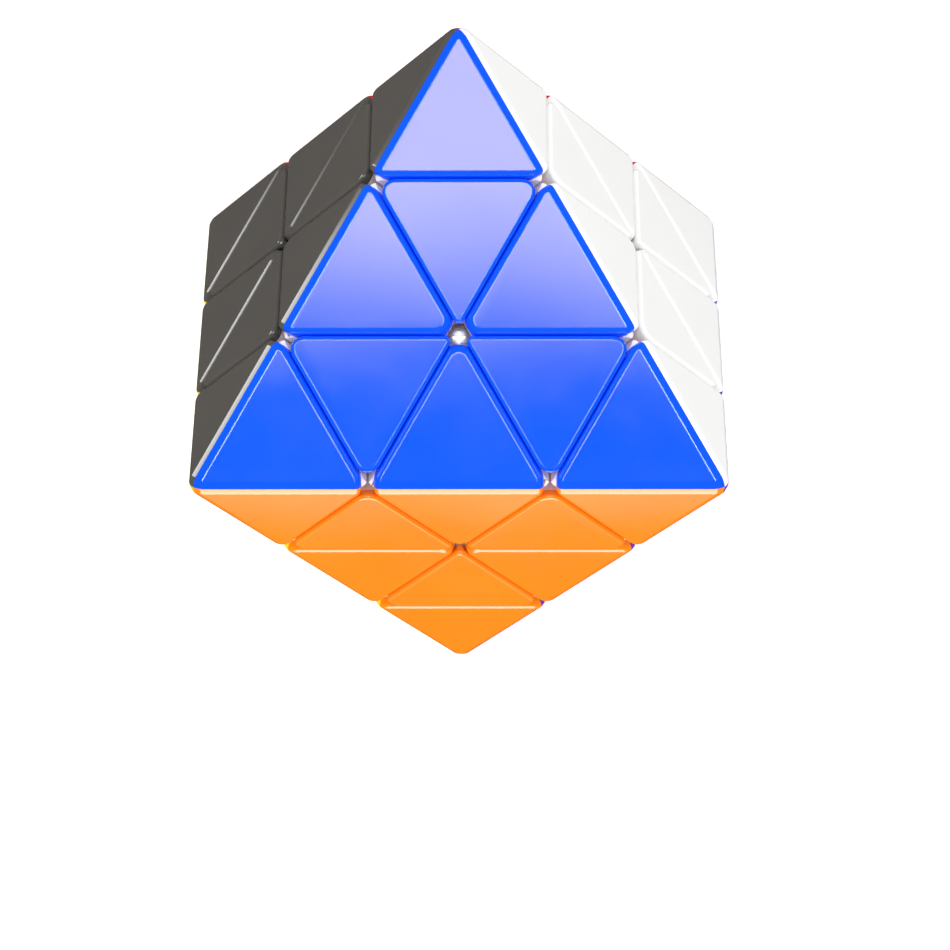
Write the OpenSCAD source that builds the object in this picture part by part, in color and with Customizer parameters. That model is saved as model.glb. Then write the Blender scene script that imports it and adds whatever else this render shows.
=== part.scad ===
// Face-turning octahedron: an eight-coloured twisty puzzle whose eight faces turn in thirds of a turn.
// Nine small triangles show on every face. Behind them six corners, twelve edges and twenty-four
// face centres slide round a hidden bowl, and a core with eight sprung axles holds them together.
//
// Frame: the origin is the middle of the face the puzzle rests on. +Z runs through the middle of the
// upper (blue) face, and +Y points at the rear corner of that face. The front is -Y.

/* [Size] */
// Edge of the octahedron, measured to its sharp corners
edge_length = 96; // [90:1:110]
// Thickness of a coloured cap
cap_thickness = 2; // [1.6:0.1:2.4]
// Clearance between two pieces that slide past each other
running_gap = 0.3; // [0.2:0.05:0.4]

/* [Softened edges] */
// How far the flats on the outer edges lie inside the sharp edge
outer_flat = 0.6; // [0.3:0.05:0.9]
// How far the flat on each outer corner lies inside the sharp corner
corner_flat = 1.8; // [1.2:0.1:2.4]
// Depth of the groove flats on corner and edge tiles
groove_flat = 0.4; // [0.2:0.05:0.6]
// Depth of the groove flats on centre tiles
centre_groove_flat = 0.7; // [0.4:0.05:0.9]
// Half the width of the notch where a corner tile and an edge tile meet
notch_half = 1.1; // [0.8:0.05:1.4]
// Depth of the notch under the sharp outer edge
notch_depth = 2.9; // [2.5:0.1:4]
// How far a centre tile is cut back where it meets the outer edge
centre_clip = 2; // [1:0.1:2.4]

/* [Inner bodies] */
// Wall of the hollow white bodies
wall = 1.2; // [1:0.1:1.5]
// Radius of the round socket behind each cap
socket_r = 5.6; // [5:0.1:6]
// Radial clearance of a cap's spigot in its socket
spigot_clearance = 0.1; // [0.05:0.05:0.2]

/* [Middle of a face] */
// Distance from the axis to the edge tiles round the screw hole
hole_r = 1.8; // [1.5:0.1:2.1]
// Distance from the axis to the tips of the centre tiles
hole_tip_r = 1.9; // [1.7:0.1:2.6]

/* [Axles] */
// Radius of the ball in the middle of the core
ball_r = 10; // [9:0.5:11]
// Radius of the core's eight arms
arm_r = 3.3; // [2.8:0.1:3.6]
// Radius of the screw thread
screw_r = 1.25; // [1.15:0.05:1.25]
// Radius of the screw head
head_r = 2.25; // [2:0.05:2.25]

/* [Hidden] */
unit = edge_length / 96;
half_gap = running_gap / 2;
face_d = edge_length / sqrt(6);
corner_d = edge_length / sqrt(2);
tile_edge = edge_length / 3;

// Half size of the cutting slabs, and how far a cutting tool reaches past the material
big = 150;
past = 1;

// Distance from the centre to the floor of a notch, square to the outer edge
notch_floor = edge_length / 2 - notch_depth;

// Turning layers: every cut plane lies a third of the way out, and steps inwards inside the bowl
cut_d = face_d / 3;
foot_cut_d = 10.4 * unit;
bowl_r = 26.5 * unit;
foot_inner_r = 21 * unit;

// Rim behind a cap, and the walls left under the bowl
rim = 1.2;
spigot_wall = 1.1;
spigot_root = 0.5;

// Heights along each axle, measured from the centre of the puzzle
arm_top = 20.4 * unit;
bore_bottom = 11 * unit;
screw_tip = 11.6 * unit;
thread_top = 20 * unit;
thread_pitch = 0.9;
thread_depth = 0.18;
shelf_top = 27.9 * unit;
spring_bottom = shelf_top + 0.02;
washer_bottom = 30 * unit;
washer_t = 0.3;
head_bottom = washer_bottom + washer_t;
head_t = 1.6;
cup_low = 24.5 * unit;
cup_top = 30.6 * unit;
cup_r = 2.4;
clear_r = screw_r + 0.1;
arm_bore_r = screw_r + 0.05;
screw_point = 0.6;
shank_rise = 0.2;
bevel_height = 0.6;
bevel_width = 0.5;
slot_w = 0.55;
slot_l = 2.9;
slot_depth = 0.8;
spring_inner_r = 1.45;
spring_outer_r = 2.15;
spring_coils = 5;
coil_seam = 0.12;

// The six outer corners, as directions from the centre before the puzzle is set down on a face
rear = [1, 0, 0];
left = [0, 1, 0];
right = [0, 0, 1];
low_front = [-1, 0, 0];
low_right = [0, -1, 0];
low_left = [0, 0, -1];

// The eight faces, each named by its corners in right-hand order
blue = [rear, left, right];
grey = [left, rear, low_left];
orange = [right, left, low_front];
white = [rear, right, low_right];
green = [low_left, low_right, low_front];
red = [low_left, rear, low_right];
yellow = [low_front, left, low_left];
purple = [right, low_front, low_right];

// Colours of the moulded plastic and the metal
blue_c = [0.05, 0.25, 1];
grey_c = [0.3, 0.29, 0.27];
orange_c = [1, 0.5, 0.1];
white_c = [0.95, 0.95, 0.94];
green_c = [0.1, 0.65, 0.25];
red_c = [0.85, 0.1, 0.1];
yellow_c = [0.95, 0.85, 0.1];
purple_c = [0.5, 0.2, 0.75];
inner_c = [0.93, 0.91, 0.9];
core_c = [0.8, 0.8, 0.8];
steel_c = [0.7, 0.71, 0.73];

// Directions used by the canonical pieces, which sit round the corner at +X and the face at (1, 1, 1)
ppp = [1, 1, 1];
ppm = [1, 1, -1];
pmp = [1, -1, 1];
pmm = [1, -1, -1];
mpp = [-1, 1, 1];

function upper(p) = p[0] + p[1] + p[2] > 0;
function up_count(f) = (upper(f[0]) ? 1 : 0) + (upper(f[1]) ? 1 : 0) + (upper(f[2]) ? 1 : 0);
function corner_layer(p) = upper(p) ? 1 : -1;
function edge_layer(p, q) = corner_layer(p) == corner_layer(q) ? corner_layer(p) : 0;
function centre_layer(f, p) = upper(p) && up_count(f) >= 2 ? 1 : !upper(p) && up_count(f) <= 1 ? -1 : 0;

// Every named piece, and the one to draw

// ---- Building blocks ----

// Turns +Z to the direction n
module along(n) {
  rotate([0, acos(n[2] / norm(n)), atan2(n[1], n[0])])
    children();
}

// The space between two parallel planes whose normal is n, at distances lo and hi from the centre
module slab(n, lo, hi) {
  along(n)
    translate([-big, -big, lo])
      cube([2 * big, 2 * big, hi - lo]);
}

// Carries a canonical piece from the corner at +X and its neighbour at +Y to the corners p and q
module place(p, q) {
  r = cross(p, q);
  multmatrix([[p[0], q[0], r[0], 0], [p[1], q[1], r[1], 0], [p[2], q[2], r[2], 0], [0, 0, 0, 1]])
    children();
}

// Sets the finished puzzle down on its green face with the rear corner towards +Y
module set_down() {
  s2 = sqrt(2);
  s3 = sqrt(3);
  s6 = sqrt(6);
  translate([0, 0, face_d])
    multmatrix([
      [0, -1 / s2, 1 / s2, 0],
      [2 / s6, -1 / s6, -1 / s6, 0],
      [1 / s3, 1 / s3, 1 / s3, 0],
      [0, 0, 0, 1]
    ])
      children();
}

// Flat along the edge where two planes meet: n and m are their normals, at distances dn and dm
module edge_flat(n, dn, m, dm, depth) {
  s = n / norm(n) + m / norm(m);
  slab(s, -big, (dn + dm) / norm(s) - depth);
}

// ---- Outlines of the three kinds of outer piece ----

// Corner: a small octahedron that lies in four layers
module corner_outline(inner, outer) {
  intersection() {
    slab(ppp, inner, outer);
    slab(ppm, inner, outer);
    slab(pmp, inner, outer);
    slab(pmm, inner, outer);
  }
}

// Edge: a small octahedron that lies in two layers and between two pairs of cuts
module edge_outline(inner, side, outer) {
  intersection() {
    slab(ppp, inner, outer);
    slab(ppm, inner, outer);
    slab(pmp, -side, side);
    slab(pmm, -side, side);
  }
}

// Centre: a small tetrahedron that lies in three layers, point inwards
module centre_outline(inner, side, outer) {
  intersection() {
    slab(ppp, 0, outer);
    slab(ppm, inner, big);
    slab(pmp, inner, big);
    slab(pmm, -big, side);
  }
}

// Where four pieces meet under an outer edge their corners are cut back, which leaves the open notches
module notched_corner(inner, outer) {
  lo = tile_edge / 2 + notch_half;
  intersection() {
    corner_outline(inner, outer);
    slab([1, -1, 0], lo, big);
    slab([1, 1, 0], lo, big);
    slab([1, 0, -1], lo, big);
    slab([1, 0, 1], lo, big);
  }
}

// Below the notches the corners of the pieces are whole again and close the notch with a floor
module deep_corner(inner, outer) {
  intersection() {
    corner_outline(inner, outer);
    slab([1, -1, 0], 0, notch_floor);
    slab([1, 1, 0], 0, notch_floor);
    slab([1, 0, -1], 0, notch_floor);
    slab([1, 0, 1], 0, notch_floor);
  }
}

module deep_edge(inner, side, outer) {
  intersection() {
    edge_outline(inner, side, outer);
    slab([1, 1, 0], 0, notch_floor);
    slab([1, 1, -2], hole_r, big);
    slab([1, 1, 2], hole_r, big);
  }
}

module notched_edge(inner, side, outer) {
  reach = tile_edge / 2 - notch_half;
  intersection() {
    edge_outline(inner, side, outer);
    slab([1, -1, 0], -reach, reach);
    slab([1, 1, -2], hole_r, big);
    slab([1, 1, 2], hole_r, big);
  }
}

module notched_centre(inner, side, outer) {
  intersection() {
    centre_outline(inner, side, outer);
    slab([0, 1, 0], centre_clip, big);
    slab([0, 0, 1], centre_clip, big);
    slab([2, -1, -1], hole_tip_r, big);
  }
}

// ---- White inner bodies: a hollow shell outside the bowl, a neck through it and a foot inside it ----

// Round socket behind the cap whose middle lies in the direction of c, on the face n
module socket(n, c) {
  translate(c * corner_d / 9)
    along(n)
      translate([0, 0, -cap_thickness - rim - past])
        cylinder(r = socket_r, h = cap_thickness + rim + 2 * past, $fn = 64);
}

module corner_body() {
  top = face_d - cap_thickness;
  difference() {
    union() {
      notched_corner(cut_d + half_gap, top);
      deep_corner(cut_d + half_gap, top);
      intersection() {
        corner_outline(foot_cut_d + half_gap, top);
        sphere(r = bowl_r - half_gap, $fn = 96);
      }
    }
    sphere(r = foot_inner_r, $fn = 96);
    difference() {
      corner_outline(cut_d + half_gap + wall, top - rim);
      sphere(r = bowl_r + half_gap + wall, $fn = 96);
    }
    socket(ppp, [7, 1, 1]);
    socket(ppm, [7, 1, -1]);
    socket(pmp, [7, -1, 1]);
    socket(pmm, [7, -1, -1]);
  }
}

module edge_body() {
  top = face_d - cap_thickness;
  difference() {
    union() {
      difference() {
        union() {
          notched_edge(cut_d + half_gap, cut_d - half_gap, top);
          deep_edge(cut_d + half_gap, cut_d - half_gap, top);
        }
        sphere(r = bowl_r + half_gap, $fn = 96);
      }
      notched_edge(cut_d + half_gap, foot_cut_d - half_gap, top);
      intersection() {
        notched_edge(foot_cut_d + half_gap, foot_cut_d - half_gap, top);
        sphere(r = bowl_r - half_gap, $fn = 96);
      }
    }
    sphere(r = foot_inner_r, $fn = 96);
    difference() {
      edge_outline(cut_d + half_gap + wall, cut_d - half_gap - wall, top - rim);
      sphere(r = bowl_r + half_gap + wall, $fn = 96);
    }
    socket(ppp, [4, 4, 1]);
    socket(ppm, [4, 4, -1]);
  }
}

module centre_body() {
  top = face_d - cap_thickness;
  difference() {
    union() {
      difference() {
        notched_centre(cut_d + half_gap, cut_d - half_gap, top);
        sphere(r = bowl_r + half_gap, $fn = 96);
      }
      notched_centre(cut_d + half_gap, foot_cut_d - half_gap, top);
      intersection() {
        centre_outline(foot_cut_d + half_gap, foot_cut_d - half_gap, top);
        sphere(r = bowl_r - half_gap, $fn = 96);
      }
    }
    sphere(r = foot_inner_r, $fn = 96);
    difference() {
      centre_outline(cut_d + half_gap + wall, cut_d - half_gap - wall, top - rim);
      sphere(r = bowl_r + half_gap + wall, $fn = 96);
    }
    socket(ppp, [5, 2, 2]);
  }
}

// ---- Coloured caps: thin triangles, each with a round spigot that plugs into its body ----

module spigot(c) {
  outer_r = socket_r - spigot_clearance;
  translate(c * corner_d / 9)
    along(ppp)
      translate([0, 0, -cap_thickness - rim])
        difference() {
          cylinder(r = outer_r, h = rim + spigot_root, $fn = 64);
          translate([0, 0, -past])
            cylinder(r = outer_r - spigot_wall, h = rim + past, $fn = 64);
        }
}

module corner_cap() {
  union() {
    intersection() {
      notched_corner(cut_d + half_gap, face_d);
      slab(ppp, face_d - cap_thickness, face_d);
      slab([0, 1, 0], 0, big);
      slab([0, 0, 1], 0, big);
      slab([1, 1, 0], 0, edge_length / 2 - outer_flat);
      slab([1, 0, 1], 0, edge_length / 2 - outer_flat);
      slab([1, 0, 0], 0, corner_d - corner_flat);
      edge_flat(ppp, face_d, -pmm, -cut_d - half_gap, groove_flat);
    }
    spigot([7, 1, 1]);
  }
}

module edge_cap() {
  union() {
    intersection() {
      notched_edge(cut_d + half_gap, cut_d - half_gap, face_d);
      slab(ppp, face_d - cap_thickness, face_d);
      slab([0, 0, 1], 0, big);
      slab([1, 1, 0], 0, edge_length / 2 - outer_flat);
      edge_flat(ppp, face_d, pmp, cut_d - half_gap, groove_flat);
      edge_flat(ppp, face_d, mpp, cut_d - half_gap, groove_flat);
    }
    spigot([4, 4, 1]);
  }
}

module centre_cap() {
  union() {
    intersection() {
      notched_centre(cut_d + half_gap, cut_d - half_gap, face_d);
      slab(ppp, face_d - cap_thickness, face_d);
      edge_flat(ppp, face_d, -ppm, -cut_d - half_gap, centre_groove_flat);
      edge_flat(ppp, face_d, -pmp, -cut_d - half_gap, centre_groove_flat);
      edge_flat(ppp, face_d, pmm, cut_d - half_gap, centre_groove_flat);
    }
    spigot([5, 2, 2]);
  }
}

// ---- The hidden axle stack on one face ----

// Retainer: a small three-sided cup that sits on the edge feet and carries the spring
module retainer() {
  difference() {
    intersection() {
      slab(ppp, cup_low, cup_top);
      slab(ppm, -big, cut_d - half_gap);
      slab(pmp, -big, cut_d - half_gap);
      slab(mpp, -big, cut_d - half_gap);
    }
    sphere(r = bowl_r + half_gap, $fn = 96);
    along(ppp)
      cylinder(r = clear_r, h = cup_top + past, $fn = 48);
    along(ppp)
      translate([0, 0, shelf_top])
        cylinder(r = cup_r, h = cup_top, $fn = 48);
  }
}

// Spring: drawn as a closed bellows of touching coils
module spring() {
  h = washer_bottom - spring_bottom;
  p = h / spring_coils;
  mid_r = (spring_inner_r + spring_outer_r) / 2;
  out_r = mid_r + coil_seam;
  in_r = mid_r - coil_seam;
  outer_side = [for (i = [0:spring_coils - 1]) each [[out_r, i * p], [spring_outer_r, (i + 0.5) * p]]];
  inner_side = [for (i = [spring_coils - 1:-1:0]) each [[spring_inner_r, (i + 0.5) * p], [in_r, i * p]]];
  along(ppp)
    translate([0, 0, spring_bottom])
      rotate_extrude($fn = 48)
        polygon(concat(outer_side, [[out_r, h], [in_r, h]], inner_side));
}

module washer() {
  along(ppp)
    translate([0, 0, washer_bottom])
      difference() {
        cylinder(r = head_r, h = washer_t, $fn = 48);
        translate([0, 0, -past])
          cylinder(r = clear_r, h = washer_t + 2 * past, $fn = 48);
      }
}

// Screw: pan head with a cross slot, plain shank, and a ringed thread in the core's arm
module screw() {
  root_r = screw_r - thread_depth;
  z0 = screw_tip + screw_point;
  turns = floor((thread_top - z0) / thread_pitch);
  ring_low = [for (i = [0:turns - 1]) z0 + i * thread_pitch];
  rings = [for (z = ring_low) each [[root_r, z], [screw_r, z + thread_pitch / 2]]];
  z1 = z0 + turns * thread_pitch;
  z2 = head_bottom + head_t;
  shank = [[root_r, z1], [screw_r, z1 + shank_rise], [screw_r, head_bottom], [head_r, head_bottom]];
  head = [[head_r, z2 - bevel_height], [head_r - bevel_width, z2], [0, z2]];
  along(ppp)
    difference() {
      rotate_extrude($fn = 48)
        polygon(concat([[0, screw_tip], [root_r * 0.5, screw_tip]], rings, shank, head));
      for (a = [0, 90])
        rotate([0, 0, a])
          translate([-slot_l / 2, -slot_w / 2, z2 - slot_depth])
            cube([slot_l, slot_w, slot_depth + past]);
    }
}

// Core: a ball with eight arms, each bored for its screw
module core_spider() {
  difference() {
    union() {
      sphere(r = ball_r, $fn = 96);
      for (n = [ppp, ppm, pmp, pmm])
        along(n)
          cylinder(r = arm_r, h = 2 * arm_top, center = true, $fn = 64);
    }
    for (n = [ppp, ppm, pmp, pmm, -ppp, -ppm, -pmp, -pmm])
      along(n)
        translate([0, 0, bore_bottom])
          cylinder(r = arm_bore_r, h = arm_top, $fn = 48);
  }
}

// ---- Groups ----

// All caps of one face that turn with one layer: 1 is the upper layer, 0 the middle and -1 the lower
module caps(f, layer) {
  for (i = [0:2]) {
    p = f[i];
    q = f[(i + 1) % 3];
    if (corner_layer(p) == layer)
      place(p, q) corner_cap();
    if (edge_layer(p, q) == layer)
      place(p, q) edge_cap();
    if (centre_layer(f, p) == layer)
      place(p, q) centre_cap();
  }
}

// The centre bodies of one face that turn with one layer
module centre_bodies(f, layer) {
  for (i = [0:2])
    if (centre_layer(f, f[i]) == layer)
      place(f[i], f[(i + 1) % 3]) centre_body();
}

// One child copied to the axle of each face in the list
module on_faces(faces) {
  for (f = faces)
    place(f[0], f[1])
      children();
}

side_faces = [grey, orange, white, red, yellow, purple];
all_faces = concat([blue, green], side_faces);

// ---- Named pieces ----

module core_spider_frame() {
  color(core_c)
    set_down()
      core_spider();
}

module axle_screws() {
  color(steel_c)
    set_down()
      on_faces(all_faces) screw();
}

module axle_springs() {
  color(steel_c)
    set_down()
      on_faces(all_faces) spring();
}

module axle_washers() {
  color(steel_c)
    set_down()
      on_faces(all_faces) washer();
}

module retainer_upper() {
  color(inner_c)
    set_down()
      on_faces([blue]) retainer();
}

module retainer_lower() {
  color(inner_c)
    set_down()
      on_faces([green]) retainer();
}

module retainers_side() {
  color(inner_c)
    set_down()
      on_faces(side_faces) retainer();
}

module corner_upper_rear_body() {
  color(inner_c)
    set_down()
      place(rear, left) corner_body();
}

module corner_upper_left_body() {
  color(inner_c)
    set_down()
      place(left, right) corner_body();
}

module corner_upper_right_body() {
  color(inner_c)
    set_down()
      place(right, rear) corner_body();
}

module corner_lower_front_body() {
  color(inner_c)
    set_down()
      place(low_front, left) corner_body();
}

module corner_lower_right_body() {
  color(inner_c)
    set_down()
      place(low_right, right) corner_body();
}

module corner_lower_left_body() {
  color(inner_c)
    set_down()
      place(low_left, rear) corner_body();
}

module edge_blue_grey_body() {
  color(inner_c)
    set_down()
      place(rear, left) edge_body();
}

module edge_blue_orange_body() {
  color(inner_c)
    set_down()
      place(left, right) edge_body();
}

module edge_blue_white_body() {
  color(inner_c)
    set_down()
      place(right, rear) edge_body();
}

module edge_grey_red_body() {
  color(inner_c)
    set_down()
      place(rear, low_left) edge_body();
}

module edge_white_red_body() {
  color(inner_c)
    set_down()
      place(rear, low_right) edge_body();
}

module edge_grey_yellow_body() {
  color(inner_c)
    set_down()
      place(left, low_left) edge_body();
}

module edge_orange_yellow_body() {
  color(inner_c)
    set_down()
      place(left, low_front) edge_body();
}

module edge_orange_purple_body() {
  color(inner_c)
    set_down()
      place(right, low_front) edge_body();
}

module edge_white_purple_body() {
  color(inner_c)
    set_down()
      place(right, low_right) edge_body();
}

module edge_green_red_body() {
  color(inner_c)
    set_down()
      place(low_left, low_right) edge_body();
}

module edge_green_yellow_body() {
  color(inner_c)
    set_down()
      place(low_left, low_front) edge_body();
}

module edge_green_purple_body() {
  color(inner_c)
    set_down()
      place(low_right, low_front) edge_body();
}

module centre_bodies_blue() {
  color(inner_c)
    set_down()
      centre_bodies(blue, 1);
}

module centre_bodies_green() {
  color(inner_c)
    set_down()
      centre_bodies(green, -1);
}

module centre_bodies_grey_upper() {
  color(inner_c)
    set_down()
      centre_bodies(grey, 1);
}

module centre_body_grey_middle() {
  color(inner_c)
    set_down()
      centre_bodies(grey, 0);
}

module centre_bodies_orange_upper() {
  color(inner_c)
    set_down()
      centre_bodies(orange, 1);
}

module centre_body_orange_middle() {
  color(inner_c)
    set_down()
      centre_bodies(orange, 0);
}

module centre_bodies_white_upper() {
  color(inner_c)
    set_down()
      centre_bodies(white, 1);
}

module centre_body_white_middle() {
  color(inner_c)
    set_down()
      centre_bodies(white, 0);
}

module centre_bodies_red_lower() {
  color(inner_c)
    set_down()
      centre_bodies(red, -1);
}

module centre_body_red_middle() {
  color(inner_c)
    set_down()
      centre_bodies(red, 0);
}

module centre_bodies_yellow_lower() {
  color(inner_c)
    set_down()
      centre_bodies(yellow, -1);
}

module centre_body_yellow_middle() {
  color(inner_c)
    set_down()
      centre_bodies(yellow, 0);
}

module centre_bodies_purple_lower() {
  color(inner_c)
    set_down()
      centre_bodies(purple, -1);
}

module centre_body_purple_middle() {
  color(inner_c)
    set_down()
      centre_bodies(purple, 0);
}

module caps_blue() {
  color(blue_c)
    set_down()
      caps(blue, 1);
}

module caps_green() {
  color(green_c)
    set_down()
      caps(green, -1);
}

module caps_grey_upper() {
  color(grey_c)
    set_down()
      caps(grey, 1);
}

module caps_grey_middle() {
  color(grey_c)
    set_down()
      caps(grey, 0);
}

module cap_grey_lower() {
  color(grey_c)
    set_down()
      caps(grey, -1);
}

module caps_orange_upper() {
  color(orange_c)
    set_down()
      caps(orange, 1);
}

module caps_orange_middle() {
  color(orange_c)
    set_down()
      caps(orange, 0);
}

module cap_orange_lower() {
  color(orange_c)
    set_down()
      caps(orange, -1);
}

module caps_white_upper() {
  color(white_c)
    set_down()
      caps(white, 1);
}

module caps_white_middle() {
  color(white_c)
    set_down()
      caps(white, 0);
}

module cap_white_lower() {
  color(white_c)
    set_down()
      caps(white, -1);
}

module cap_red_upper() {
  color(red_c)
    set_down()
      caps(red, 1);
}

module caps_red_middle() {
  color(red_c)
    set_down()
      caps(red, 0);
}

module caps_red_lower() {
  color(red_c)
    set_down()
      caps(red, -1);
}

module cap_yellow_upper() {
  color(yellow_c)
    set_down()
      caps(yellow, 1);
}

module caps_yellow_middle() {
  color(yellow_c)
    set_down()
      caps(yellow, 0);
}

module caps_yellow_lower() {
  color(yellow_c)
    set_down()
      caps(yellow, -1);
}

module cap_purple_upper() {
  color(purple_c)
    set_down()
      caps(purple, 1);
}

module caps_purple_middle() {
  color(purple_c)
    set_down()
      caps(purple, 0);
}

module caps_purple_lower() {
  color(purple_c)
    set_down()
      caps(purple, -1);
}

// ---- Drawing ----

core_spider_frame();
axle_screws();
axle_springs();
axle_washers();
retainer_upper();
retainer_lower();
retainers_side();
corner_upper_rear_body();
corner_upper_left_body();
corner_upper_right_body();
corner_lower_front_body();
corner_lower_right_body();
corner_lower_left_body();
edge_blue_grey_body();
edge_blue_orange_body();
edge_blue_white_body();
edge_grey_red_body();
edge_white_red_body();
edge_grey_yellow_body();
edge_orange_yellow_body();
edge_orange_purple_body();
edge_white_purple_body();
edge_green_red_body();
edge_green_yellow_body();
edge_green_purple_body();
centre_bodies_blue();
centre_bodies_green();
centre_bodies_grey_upper();
centre_body_grey_middle();
centre_bodies_orange_upper();
centre_body_orange_middle();
centre_bodies_white_upper();
centre_body_white_middle();
centre_bodies_red_lower();
centre_body_red_middle();
centre_bodies_yellow_lower();
centre_body_yellow_middle();
centre_bodies_purple_lower();
centre_body_purple_middle();
caps_blue();
caps_green();
caps_grey_upper();
caps_grey_middle();
cap_grey_lower();
caps_orange_upper();
caps_orange_middle();
cap_orange_lower();
caps_white_upper();
caps_white_middle();
cap_white_lower();
cap_red_upper();
caps_red_middle();
caps_red_lower();
cap_yellow_upper();
caps_yellow_middle();
caps_yellow_lower();
cap_purple_upper();
caps_purple_middle();
caps_purple_lower();
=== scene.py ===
# %% [markdown]
# # An eight-coloured octahedron puzzle
# This lesson builds the looks of a face-turning octahedron. The real toy is 72 glossy caps on white
# bodies, and those bodies slide round a hidden bowl. Eleven shapes are enough: each is made once,
# with true rounded edges, and then copied to every place where the toy has it.

# %%
import itertools
import math

import bmesh
import bpy
from mathutils import Matrix, Vector


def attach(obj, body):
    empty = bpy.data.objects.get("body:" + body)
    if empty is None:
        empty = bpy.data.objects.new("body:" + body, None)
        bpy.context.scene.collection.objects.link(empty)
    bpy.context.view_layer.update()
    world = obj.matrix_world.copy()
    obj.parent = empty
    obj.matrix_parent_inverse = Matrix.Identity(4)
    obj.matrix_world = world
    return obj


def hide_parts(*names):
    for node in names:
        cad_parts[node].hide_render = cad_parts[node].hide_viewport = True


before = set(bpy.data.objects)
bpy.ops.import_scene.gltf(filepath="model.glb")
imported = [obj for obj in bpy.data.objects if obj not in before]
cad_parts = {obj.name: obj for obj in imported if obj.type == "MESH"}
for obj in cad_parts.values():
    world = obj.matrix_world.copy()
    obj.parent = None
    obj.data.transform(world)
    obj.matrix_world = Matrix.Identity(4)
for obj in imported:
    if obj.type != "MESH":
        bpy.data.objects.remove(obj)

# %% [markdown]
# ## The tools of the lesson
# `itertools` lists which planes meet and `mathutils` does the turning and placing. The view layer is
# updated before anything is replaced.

scene = bpy.context.scene
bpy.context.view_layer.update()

# %% [markdown]
# ## The camera
# The toy lies on its green face and is seen almost straight down from a little over a metre away through
# a long lens. That keeps the three side faces narrow and the upper face an even triangle. The camera
# stands a little towards the front, so the orange side shows more than the other two.

# %%
CAMERA_AT = Vector((0.0069, -0.0844, 1.151))
AIM_AT = Vector((0.0027, -0.0227, 0.0392))
ROLL = math.radians(-0.02)
LENS = 232.5

camera = bpy.data.objects.new("camera", bpy.data.cameras.new("camera"))
scene.collection.objects.link(camera)
camera.data.lens = LENS
camera.data.sensor_width = 36
camera.data.clip_start = 0.1
camera.data.clip_end = 20
back = (CAMERA_AT - AIM_AT).normalized()
side = Vector((0, 1, 0)).cross(back).normalized()
upright = Matrix((side, back.cross(side), back)).transposed()
camera.matrix_world = Matrix.Translation(CAMERA_AT) @ (upright @ Matrix.Rotation(ROLL, 3, "Z")).to_4x4()
scene.camera = camera
print("camera leans", round(math.degrees(back.angle(Vector((0, 0, 1)))), 2), "degrees from straight down")

# %% [markdown]
# ## The sizes of the toy
# Everything follows from the edge of the big octahedron. Faces lie at the same distance from the
# middle, and every cut lies a third of the way out. Inside a ball, the bowl, the cuts step inwards, and
# that step is what hooks the pieces under each other. All lengths here are millimetres.

# %%
EDGE = 96.0
FACE_D = EDGE / math.sqrt(6)
CUT_D = FACE_D / 3
FOOT_CUT_D = 10.4
HALF_GAP = 0.15
BOWL_R = 26.5
FOOT_INNER_R = 21.0
CAP_T = 2.0
TILE = EDGE / 3
print("face to face", round(2 * FACE_D, 2), "mm")

# %% [markdown]
# ## Corners, faces and places
# The toy is easiest to think of standing on a corner, with its six corners on the axes. Each face is
# named by three corners in right-hand order. One matrix then sets the finished toy down on a face, and
# `place` carries a shape made near the first corner to any other corner.

# %%
REAR, LEFT, RIGHT = Vector((1, 0, 0)), Vector((0, 1, 0)), Vector((0, 0, 1))
LOW_FRONT, LOW_RIGHT, LOW_LEFT = -REAR, -LEFT, -RIGHT
FACES = {
    "blue": (REAR, LEFT, RIGHT),
    "grey": (LEFT, REAR, LOW_LEFT),
    "orange": (RIGHT, LEFT, LOW_FRONT),
    "white": (REAR, RIGHT, LOW_RIGHT),
    "green": (LOW_LEFT, LOW_RIGHT, LOW_FRONT),
    "red": (LOW_LEFT, REAR, LOW_RIGHT),
    "yellow": (LOW_FRONT, LEFT, LOW_LEFT),
    "purple": (RIGHT, LOW_FRONT, LOW_RIGHT),
}
set_down = Matrix.Translation((0, 0, FACE_D)) @ Matrix(
    (
        Vector((0, -1, 1)).normalized(),
        Vector((2, -1, -1)).normalized(),
        Vector((1, 1, 1)).normalized(),
    )
).to_4x4()
to_metres = Matrix.Scale(0.001, 4) @ set_down


def place(p, q):
    """Carries a shape made round the first two corners to the corners p and q"""
    return Matrix((p, q, p.cross(q))).transposed().to_4x4()


def layer_of_corner(p):
    """1 for the three corners of the upper layer, -1 for those of the lower one"""
    return 1 if sum(p) > 0 else -1


def layer_of_edge(p, q):
    """An edge piece turns with a layer only if both its corners do"""
    return layer_of_corner(p) if layer_of_corner(p) == layer_of_corner(q) else 0


def layer_of_centre(face, p):
    """A centre piece turns with the layer of its corner if most of its face is in that layer"""
    count = sum(layer_of_corner(c) for c in face)
    return layer_of_corner(p) if layer_of_corner(p) * count > 0 else 0


print("turning layers of the grey centres", [layer_of_centre(FACES["grey"], p) for p in FACES["grey"]])

# %% [markdown]
# ## A solid from its planes
# Every piece of the toy is a block cut by flat planes. Instead of typing corner points, this helper
# takes the planes themselves: it finds where three of them meet, keeps the points that lie inside all
# the others, and joins the points of each plane in a ring. Each plane carries a kind, such as "face" or
# "cut", so that the next step knows how round each edge between two kinds should be.

# %%
def unit(*v):
    """A direction of length one"""
    return Vector(v).normalized()


def ring_order(points, on, normal):
    """The points of one flat side, in order round its middle"""
    middle = sum((points[i] for i in on), Vector()) / len(on)
    across = (points[on[0]] - middle).normalized()
    up = normal.cross(across)

    def angle(i):
        arm = points[i] - middle
        return math.atan2(arm.dot(up), arm.dot(across))

    return sorted(on, key=angle)


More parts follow.
